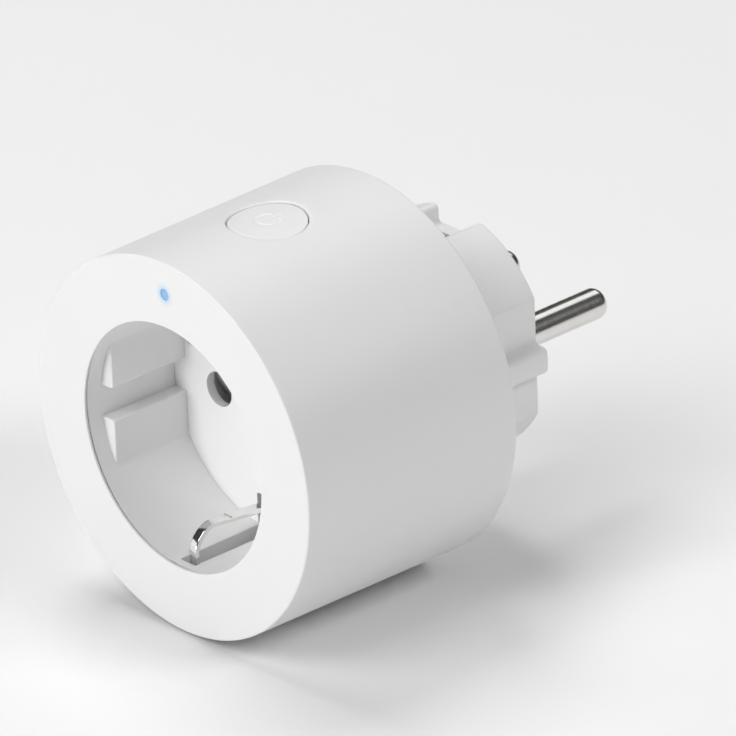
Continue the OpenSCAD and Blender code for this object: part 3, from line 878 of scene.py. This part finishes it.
def rear_bracket_piece():
    """Earth strip of the plug: its ends lie in the two grooves, and it is drilled for the sleeve."""
    y, half_t = bracket_y, bracket_t / 2
    bowed_end = [(1.6, 15.85), (2.0, 15.97), (2.4, 16.1), (3.6, 16.22), (5, 16.3), (7, 16.24),
                 (9, 16.15), (11.2, 16.0)]
    half = (bowed_end + arc(y - bracket_r, bracket_bend_z, bracket_r, 90, 0, 8)
            + [(y, 12), (y, 3)])
    strip = strip_shell(mirror_path(half),
                        lambda _: (-bridge_half, bridge_half, half_t, half_t), 0.12)
    obj = to_object("rear_earth_strip", strip)
    edge = 0.1
    weld = lathe([(sleeve_weld_r - edge, y - half_t), (sleeve_weld_r, y - half_t + edge),
                  (sleeve_weld_r, y + half_t - edge), (sleeve_weld_r - edge, y + half_t)], ROUND)
    combine(obj, weld.moved(0, earth_z), "UNION")
    bore = lathe([(sleeve_bore_r, y - 1), (sleeve_bore_r, y + 1)], ROUND)
    return combine(obj, bore.moved(0, earth_z))


def swept(path, r, n=16):
    """A round wire along a path of (x, y, z) points."""
    points = [Vector(p) for p in path]
    side = Vector((0, 0, 1))
    rings = []
    for i, p in enumerate(points):
        along = (points[min(i + 1, len(points) - 1)] - points[max(i - 1, 0)]).normalized()
        side = (side - along * side.dot(along)).normalized()
        other = along.cross(side)
        rings.append([p + r * (math.cos(a) * side + math.sin(a) * other)
                      for a in spread(0, 2 * math.pi, n)[:-1]])
    return Shell().skin(rings)


def spring_piece():
    """Torsion spring with a front leg at the shutter and a rear leg in the carrier."""
    end = spring_y + spring_rise * spring_turns
    path = [(spring_leg_x, spring_y - 1.3, 0), (spring_leg_x, spring_y - 0.7, 0),
            (spring_leg_x - 0.05, spring_y - 0.4, 0)]
    for turn in spread(0, spring_turns, 126):
        a = 2 * math.pi * turn
        path.append((spring_r * math.cos(a), spring_y + spring_rise * turn, spring_r * math.sin(a)))
    path += [(-spring_r, end + 0.1, 1.2), (-spring_r - 0.4, end + 0.15, 2.4)]
    obj = to_object("shutter_spring_wire", swept(path, spring_wire_r))
    finish_piece(obj, "spring_steel", ["shutter_spring"], body=None)
    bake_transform(obj)
    return obj


# ---------------------------------------------------------------- button
def symbol_depth(x, y):
    """How far the generic power symbol is pressed in, from 0 to 1; +y is towards the wall."""
    stroke, ring_r, soft = 0.2, 1.75, 0.12
    a = math.degrees(math.atan2(abs(x), y))
    on_ring = abs(math.hypot(x, y) - ring_r)
    if a < 38:
        end = math.radians(38)
        on_ring = math.hypot(abs(x) - ring_r * math.sin(end), y - ring_r * math.cos(end))
    on_bar = math.hypot(x, max(0, 0.45 - y, y - 2.35))
    near = min(on_ring, on_bar)
    return min(1, max(0, (stroke + soft - near) / soft))


def button_shell():
    """Cap whose top follows the sleeve, with a rounded edge, flange and stem."""
    turns = [2 * math.pi * i / BUTTON_COLUMNS for i in range(BUTTON_COLUMNS)]

    def ring_at(r, top):
        points = [(r * math.cos(a), r * math.sin(a)) for a in turns]
        return [(x, button_y + y, top(x, y)) for x, y in points]

    def under_sleeve(x, y, sunk):
        return across(sleeve_r(button_y + y) - sunk, x)

    rings = [ring_at(r, lambda x, y: under_sleeve(x, y, button_sunk)
                     - symbol_press * symbol_depth(x, y))
             for r in spread(0, button_r - button_edge, 64)]
    for a in (22.5, 45, 67.5, 90):
        sunk = button_sunk + button_edge * (1 - cos_of(a))
        rings.append(ring_at(button_r - button_edge + button_edge * sin_of(a),
                             lambda x, y: under_sleeve(x, y, sunk)))
    flange_outer = button_r + 0.8
    flange_end = flange_z - flange_t
    stem_z = edge_of("button_cap", 0, "z")
    for r, z in ((button_r, flange_z), (flange_outer - flange_edge, flange_z),
                 (flange_outer, flange_z - flange_edge), (flange_outer, flange_end + flange_edge),
                 (flange_outer - flange_edge, flange_end), (stem_r, flange_end),
                 (stem_r, stem_z + stem_edge), (stem_r - stem_edge, stem_z), (0, stem_z)):
        rings.append(ring_at(r, lambda x, y: z))
    return Shell().skin(rings)


def light_shell():
    """Light pipe with a slightly domed window."""
    flange_y, end_y = front_y + ring_t + gap, front_y + light_len
    dome = [(light_r * sin_of(a), front_y + 0.02 + light_dome * (1 - cos_of(a)))
            for a in (0, 18, 36, 54, 72, 90)]
    pipe = [(light_r, flange_y), (light_r + light_flange, flange_y),
            (light_r + light_flange, end_y), (0, end_y)]
    return lathe(dome + pipe, ROUND).moved(0, light_z)


# ---------------------------------------------------------------- plug behind
def rounded(corners, n=6):
    """Rounds a polygon: corners are (x, z, radius)."""
    out = []
    for i, (x, z, r) in enumerate(corners):
        p = Vector((x, z))
        if not r:
            out.append((x, z))
            continue
        a = (Vector(corners[i - 1][:2]) - p).normalized()
        b = (Vector(corners[(i + 1) % len(corners)][:2]) - p).normalized()
        half = a.angle(b) / 2
        reach = r / math.tan(half)
        centre = p + (a + b).normalized() * (r / math.sin(half))
        start, end = p + a * reach - centre, p + b * reach - centre
        turn = math.atan2(start.x * end.y - start.y * end.x, start.dot(end))
        for k in range(n + 1):
            t = turn * k / n
            c, s = math.cos(t), math.sin(t)
            out.append((centre.x + start.x * c - start.y * s, centre.y + start.x * s + start.y * c))
    return out


def inset(outline, d):
    """Moves each point of an outline inward by d."""
    area = sum(a[0] * b[1] - b[0] * a[1] for a, b in zip(outline, outline[1:] + outline[:1]))
    side = 1 if area > 0 else -1
    out = []
    for i, p in enumerate(outline):
        a = (Vector(p) - Vector(outline[i - 1])).normalized()
        b = (Vector(outline[(i + 1) % len(outline)]) - Vector(p)).normalized()
        t = (a + b).normalized()
        normal = Vector((-t.y, t.x)) * side
        q = Vector(p) + normal * d / max(0.5, normal.dot(Vector((-a.y, a.x)) * side))
        out.append((q.x, q.y))
    return out


def plug_outline():
    """Outline of the plug body: rib grooves at the sides, earth grooves above and below."""
    groove_end = across(plug_r, groove_half)
    key_low = across(plug_r, key_x)
    key_out = across(plug_r, key_half)
    start = math.asin(groove_half / plug_r)
    end = math.acos(key_low / plug_r)
    curve = spread(start, end, 24)
    quarter = [(0, groove_z, 0), (groove_half, groove_z, notch_corner),
               (groove_half, groove_end, plug_corner)]
    quarter += [(plug_r * math.sin(a), plug_r * math.cos(a), 0) for a in curve[2:-2]]
    quarter += [(key_x, key_low, key_corner), (key_x, key_half, notch_corner),
                (key_out, key_half, plug_corner)]
    quarter += [(across(plug_r, z), z, 0) for z in (0.6, 0)]
    half = quarter + [(x, -z, r) for x, z, r in quarter[-2::-1]]
    whole = half + [(-x, z, r) for x, z, r in half[-2:0:-1]]
    return rounded(whole)


def plug_piece():
    """Plug body with its flange, hollow, pin seats, slots for the earth strip and earth entry."""
    outline = plug_outline()
    rings = [[(x, -cover_t / 2, z) for x, z in outline]]
    for a in (0, 15, 30, 45, 60, 75, 90):
        shrunk = inset(outline, plug_edge * (1 - cos_of(a)))
        rings.append([(x, plug_len - plug_edge + plug_edge * sin_of(a), z) for x, z in shrunk])
    obj = to_object("plug_body_moulding", Shell().skin(rings))
    low, high = -cover_t - disc_t - gap, -cover_t - gap
    collar = lathe([(0, low), (flange_r, low), (flange_r, high), (plug_disc_r, high),
                    (plug_disc_r, -seat_step - disc_edge), (plug_disc_r - disc_edge, -seat_step),
                    (0, -seat_step)], 180)
    combine(obj, collar, "UNION")
    hollow_x = key_x - plug_wall
    hollow_top = groove_z - plug_wall
    face_y = plug_len - face_t
    inside = 10  # any depth within the hollow
    combine(obj, slab(-hollow_x, hollow_x, -hollow_top, hollow_top, hollow_y, face_y,
                      hollow_corner))
    for s in (-1, 1):
        neck = lathe([(pin_neck_r + 0.01, inside), (pin_neck_r + 0.01, plug_len + 1)], ROUND)
        combine(obj, neck.moved(s * entry_x))
        seat = lathe([(pin_collar_r + overlap, pin_seat_y),
                      (pin_collar_r + overlap, pin_collar_y + gap)], ROUND)
        combine(obj, seat.moved(s * entry_x))
        z0, z1 = sorted((s * earth_slot[0], s * earth_slot[1]))
        combine(obj, slab(-bracket_slot_half, bracket_slot_half, z0, z1, face_y - 2.4,
                          face_y - 0.1))
    chamfer_r = earth_entry_r + 0.4
    entry = lathe([(earth_entry_r, inside), (earth_entry_r, plug_len - 0.4),
                   (earth_entry_r + 0.1, plug_len - 0.15), (chamfer_r, plug_len + 0.02),
                   (chamfer_r, plug_len + 1)], ROUND)
    return combine(obj, entry.moved(0, earth_z))


def rear_cover_piece():
    """Ring that closes the sleeve, with rounded edges and sunk screw holes."""
    inner, outer = plug_r + gap, rim_r - 0.06
    soft = 0.07
    front, joined = -cover_t + gap, -cover_t + overlap
    profile = [(inner, front), (inner, -cover_edge), (inner + soft, -soft), (inner + cover_edge, 0),
               (outer - cover_edge, 0), (outer - soft, -soft), (outer, -cover_edge), (outer, front)]
    obj = to_object("rear_cover_moulding", lathe(profile, 180, loop=True))
    for angle in post_angles:
        boss = lathe([(0, cover_boss_y), (cover_boss_r - 0.15, cover_boss_y),
                      (cover_boss_r, cover_boss_y + 0.15), (cover_boss_r, joined), (0, joined)],
                     SMALL_ROUND)
        combine(obj, boss.turned_to(angle, post_at), "UNION")
        sunk = lathe([(shank_hole_r, -8), (shank_hole_r, sunk_y), (sunk_r, sunk_y), (sunk_r, -0.3),
                      (sunk_r + 0.07, -0.1), (sunk_r + 0.25, 0.02), (sunk_r + 0.25, 1)], ROUND)
        combine(obj, sunk.turned_to(angle, post_at))
    return obj


def pin_shell(x):
    """Plug pin: rivet, root, collar, neck through the face, and a rounded end."""
    rivet_y = pin_root_y - 1.4
    tip_y = pin_tip_y - pin_round
    profile = [(0, rivet_y), (pin_rivet_r, rivet_y), (pin_rivet_r, pin_root_y),
               (pin_r, pin_root_y), (pin_r, pin_collar_y - pin_collar_t),
               (pin_collar_r, pin_collar_y - pin_collar_t), (pin_collar_r, pin_collar_y),
               (pin_neck_r, pin_collar_y), (pin_neck_r, pin_neck_end),
               (pin_r - 0.08, pin_neck_end), (pin_r, pin_neck_end + 0.08)]
    profile += [(pin_r, y) for y in spread(plug_len + 1, tip_y - 0.5, 6)]
    profile += arc(pin_r - pin_round, tip_y, pin_round, 0, 90, 12)
    return lathe(profile + [(0, pin_tip_y)]).moved(x)


def screw_shell():
    """Pan-head screw along Y, whose shank carries a thread."""
    low = screw_head_y - screw_len
    dome = [(screw_head_r * cos_of(a) ** 0.7 if a < 90 else 0,
             screw_head_y + screw_head_h * (0.35 + 0.65 * sin_of(a)))
            for a in (0, 15, 30, 50, 70, 90)]
    profile = [(0, low), (screw_r * 0.5, low), (screw_r * 0.8, low + 0.5)]
    y = low + 0.9
    while y < screw_head_y - screw_pitch:
        profile += [(screw_r * 0.82, y), (screw_r, y + screw_pitch * 0.35),
                    (screw_r, y + screw_pitch * 0.45), (screw_r * 0.82, y + screw_pitch * 0.8)]
        y += screw_pitch
    profile += [(screw_r, screw_head_y), (screw_head_r * 0.96, screw_head_y),
                (screw_head_r, screw_head_y + screw_head_h * 0.1)]
    return lathe(profile + dome, ROUND)


def screw_piece(name):
    """The four cover screws; each is turned differently."""
    obj = to_object(name + "_one", screw_shell())
    reach, half = screw_head_r * 0.52, 0.24
    for a in (0, 90):
        arm = slab(-reach, reach, -half, half, screw_head_y + screw_head_h * 0.45,
                   screw_head_y + screw_head_h + 1, 0.1)
        c, s = cos_of(a + recess_turn), sin_of(a + recess_turn)
        arm.points = [(x * c - z * s, y, x * s + z * c) for x, y, z in arm.points]
        combine(obj, arm)
    whole = bmesh.new()
    for i, angle in enumerate(post_angles):
        copy = obj.data.copy()
        copy.transform(Matrix.Rotation(math.radians(screw_turn * i), 4, "Y"))
        copy.transform(Matrix.Translation((post_at * sin_of(angle) * MM, 0,
                                           post_at * cos_of(angle) * MM)))
        whole.from_mesh(copy)
    result = bpy.data.meshes.new(name)
    whole.to_mesh(result)
    whole.free()
    bpy.data.objects.remove(obj)
    return linked(name, result)


# ---------------------------------------------------------------- pieces
finish_piece(to_object("front_shell", front_shell()), "white_shell", ["front_housing"])
finish_piece(to_object("recess_wall", liner_shell()), "white_insert", ["socket_liner"])
# the floor takes the brighter copy of the white insert plastic: painted light for its stronger
# lighting
finish_piece(floor_piece(), "white_insert", ["socket_floor"], look="socket_floor")
finish_piece(earth_clip_piece(), "nickel", ["earth_clip"])
spring_piece()
finish_piece(to_object("button_top", button_shell()), "white_button", ["button_cap"], "button")
finish_piece(to_object("light_window", light_shell()), "light_blue", ["light_pipe"])
finish_piece(rear_cover_piece(), "white_shell", ["rear_cover"])
finish_piece(plug_piece(), "white_shell", ["plug_body"])
finish_piece(rear_bracket_piece(), "nickel", ["rear_earth_bracket"])
finish_piece(to_object("right_plug_pin", pin_shell(entry_x)), "pin_metal", ["live_pin"])
finish_piece(to_object("left_plug_pin", pin_shell(-entry_x)), "pin_metal", ["neutral_pin"])
finish_piece(screw_piece("cover_screws"), "screw_steel", ["housing_screws"])


# ---------------------------------------------------------------- camera, floor and light
def camera():
    """The photo's camera; angles are in degrees and lengths in metres."""
    azimuth, elevation, roll = (math.radians(a) for a in (48.95, 26.24, -2.397))
    target = Vector((0, -0.02481, 0))
    aim_right, aim_up, distance = -0.01685, -0.006612, 1.6179
    right = Vector((math.cos(azimuth), math.sin(azimuth), 0))
    back = Vector((math.sin(azimuth) * math.cos(elevation),
                   -math.cos(azimuth) * math.cos(elevation), math.sin(elevation)))
    up = back.cross(right)
    side = math.cos(roll) * right + math.sin(roll) * up
    top = -math.sin(roll) * right + math.cos(roll) * up
    place = target - aim_right * side - aim_up * top + distance * back
    data = bpy.data.cameras.new("camera")
    data.lens = 541.4
    data.sensor_width = 36
    obj = linked("camera", data)
    obj.matrix_world = Matrix.Translation(place) @ Matrix((side, top, back)).transposed().to_4x4()
    bpy.context.scene.camera = obj


def area_light(name, power, place, size):
    """A square light that points at the middle of the plug."""
    data = bpy.data.lights.new(name, "AREA")
    data.shape = "RECTANGLE"
    data.energy = power
    data.size = data.size_y = size
    obj = linked(name, data)
    obj.location = place
    aim = Vector((0, -0.02, 0)) - Vector(place)
    obj.rotation_euler = aim.to_track_quat("-Z", "Y").to_euler()


def floor():
    """Pale floor just under the plug."""
    half, z = 1.0, -(rear_r + 0.02) * MM
    mesh = bpy.data.meshes.new("studio_floor")
    mesh.from_pydata([(-half, -half, z), (half, -half, z), (half, half, z), (-half, half, z)], [],
                     [(0, 1, 2, 3)])
    obj = linked("studio_floor", mesh)
    look = surface("pale_floor", (0.93, 0.93, 0.93), 0.7, mottle=0.006, mottle_size=60,
                   grain=0.01, grain_size=0.6, wear=0)
    obj.data.materials.append(look.material)


def studio_world():
    """A pale backdrop behind the floor, which adds only a little light of its own."""
    world = bpy.data.worlds.new("studio")
    world.use_nodes = True
    tree = world.node_tree
    lit = tree.nodes["Background"]
    seen = tree.nodes.new("ShaderNodeBackground")
    path = tree.nodes.new("ShaderNodeLightPath")
    mix = tree.nodes.new("ShaderNodeMixShader")
    for node, strength in ((lit, 0.05), (seen, 0.8)):
        node.inputs["Color"].default_value = (1, 1, 1, 1)
        node.inputs["Strength"].default_value = strength
    tree.links.new(path.outputs["Is Camera Ray"], mix.inputs["Fac"])
    tree.links.new(lit.outputs["Background"], mix.inputs[1])
    tree.links.new(seen.outputs["Background"], mix.inputs[2])
    tree.links.new(mix.outputs["Shader"], tree.nodes["World Output"].inputs["Surface"])
    bpy.context.scene.world = world


camera()
floor()
studio_world()
area_light("front_softbox", 9.1, (-0.15, -1.55, 0.06), 0.35)
area_light("front_left_softbox", 2.4, (-1.05, -1.14, 0.1), 0.9)
area_light("high_front_softbox", 3.5, (0.0, -0.65, 0.7), 0.5)
area_light("high_left_softbox", 4.6, (-0.45, 0.1, 0.9), 0.5)
area_light("high_right_softbox", 4.5, (0.85, 0.28, 0.75), 0.4)
area_light("high_rear_softbox", 0.9, (-0.25, 0.7, 0.75), 0.5)
bpy.context.scene.view_settings.view_transform = "Standard"
